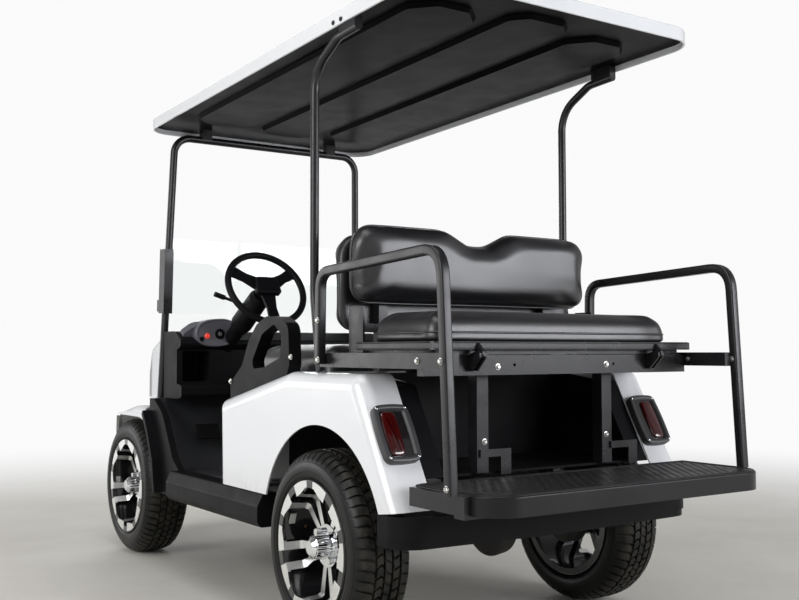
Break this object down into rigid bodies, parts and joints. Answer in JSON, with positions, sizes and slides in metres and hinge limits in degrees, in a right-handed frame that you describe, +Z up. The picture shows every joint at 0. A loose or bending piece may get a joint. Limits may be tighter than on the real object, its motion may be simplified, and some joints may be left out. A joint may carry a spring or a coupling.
{
  "type": "golf cart",
  "caption": "Two-bench electric golf cart with canopy, folding windshield, rear-facing flip bench, footplate, grab bars and spoked wheels; it steers and rolls.",
  "frame": {"origin": "on the ground at the middle of the overall length and width", "axes": "+Z up, +Y to the rear along the length, +X to the driver's side"},
  "size_m": [1.189, 2.8196, 1.8797],
  "materials": {
    "frame_steel": "satin black coat",
    "body_white": "gloss white",
    "black_moulding": "fine grained black moulding",
    "tread_plate": "black with a raised tread",
    "vinyl": "grained black vinyl with a soft sheen",
    "pod_grey": "satin grey",
    "grip": "soft black",
    "clear_pane": "clear sheet",
    "lamp_clear": "clear lens",
    "lamp_red": "deep red lens",
    "bezel": "black",
    "tyre": "black rubber with block tread",
    "wheel_metal": "machined faces on black"
  },
  "bodies": {
    "chassis": {"battery_pack": "black_moulding", "canopy": "body_white", "canopy_liner": "black_moulding", "chassis_frame": "frame_steel", "dashboard": "black_moulding", "floor_pan": "black_moulding", "footplate": "tread_plate", "footplate_frame": "frame_steel", "front_axle": "frame_steel", "front_bumper": "black_moulding", "front_cowl": "body_white", "front_hoop": "frame_steel", "front_seat_back": "vinyl", "grab_bar_left": "frame_steel", "grab_bar_right": "frame_steel", "headlamps": "lamp_clear", "hip_restraints": "black_moulding", "instrument_pod": "pod_grey", "leaf_springs": "frame_steel", "pedals": "black_moulding", "rear_axle": "frame_steel", "rear_body": "body_white", "rear_bumper": "black_moulding", "rear_liner": "black_moulding", "rear_seat_back": "vinyl", "rear_seat_frame": "frame_steel", "rear_struts": "frame_steel", "seat_frame": "frame_steel", "sill_panels": "black_moulding", "steering_column": "black_moulding", "tail_lamp_bezels": "bezel", "tail_lamp_lenses": "lamp_red", "windshield": "clear_pane"},
    "steering_wheel": {"steering_wheel": "grip"},
    "knuckle_left": {"knuckle_left": "frame_steel"},
    "knuckle_right": {"knuckle_right": "frame_steel"},
    "tie_rod": {"tie_rod": "frame_steel"},
    "wheel_front_left": {"tyre_front_left": "tyre", "rim_front_left": "wheel_metal"},
    "wheel_front_right": {"tyre_front_right": "tyre", "rim_front_right": "wheel_metal"},
    "wheel_rear_left": {"tyre_rear_left": "tyre", "rim_rear_left": "wheel_metal"},
    "wheel_rear_right": {"tyre_rear_right": "tyre", "rim_rear_right": "wheel_metal"},
    "front_seat": {"front_seat_pan": "black_moulding", "front_seat_cushion": "vinyl"},
    "rear_seat": {"rear_deck": "black_moulding", "rear_seat_cushion": "vinyl"}
  },
  "joints": [
    {"name": "steering_turn", "type": "hinge", "parent": "chassis", "child": "steering_wheel", "pos_m": [0.25, -0.277, 1.085], "axis": [0, 0.8572, 0.515], "range_deg": [-450, 450]},
    {"name": "knuckle_left_turn", "type": "hinge", "parent": "chassis", "child": "knuckle_left", "pos_m": [0.362, -1.005, 0.2794], "axis": [0, 0, 1], "range_deg": [-30.01, 30.01]},
    {"name": "knuckle_right_turn", "type": "hinge", "parent": "chassis", "child": "knuckle_right", "pos_m": [-0.362, -1.005, 0.2794], "axis": [0, 0, 1], "range_deg": [-30.01, 30.01]},
    {"name": "tie_rod_slide", "type": "slide", "parent": "chassis", "child": "tie_rod", "axis": [1, 0, 0], "range_m": [-0.0635, 0.0635]},
    {"name": "wheel_front_left_roll", "type": "hinge", "parent": "knuckle_left", "child": "wheel_front_left", "pos_m": [0.45, -1.005, 0.2794], "axis": [1, 0, 0], "continuous": true},
    {"name": "wheel_front_right_roll", "type": "hinge", "parent": "knuckle_right", "child": "wheel_front_right", "pos_m": [-0.45, -1.005, 0.2794], "axis": [1, 0, 0], "continuous": true},
    {"name": "wheel_rear_left_roll", "type": "hinge", "parent": "chassis", "child": "wheel_rear_left", "pos_m": [0.492, 0.665, 0.2794], "axis": [1, 0, 0], "continuous": true},
    {"name": "wheel_rear_right_roll", "type": "hinge", "parent": "chassis", "child": "wheel_rear_right", "pos_m": [-0.492, 0.665, 0.2794], "axis": [1, 0, 0], "continuous": true},
    {"name": "front_seat_lid", "type": "hinge", "parent": "chassis", "child": "front_seat", "pos_m": [0, -0.019, 0.712], "axis": [1, 0, 0], "range_deg": [0, 65]},
    {"name": "rear_seat_flip", "type": "hinge", "parent": "chassis", "child": "rear_seat", "pos_m": [0, 1.155, 0.834], "axis": [-1, 0, 0], "range_deg": [0, 180]}
  ],
  "couplings": [
    {"joint": "knuckle_left_turn", "follows": "steering_turn", "ratio": 0.066667},
    {"joint": "knuckle_right_turn", "follows": "steering_turn", "ratio": 0.066667},
    {"joint": "tie_rod_slide", "follows": "steering_turn", "m_per_rad": -0.007958}
  ]
}
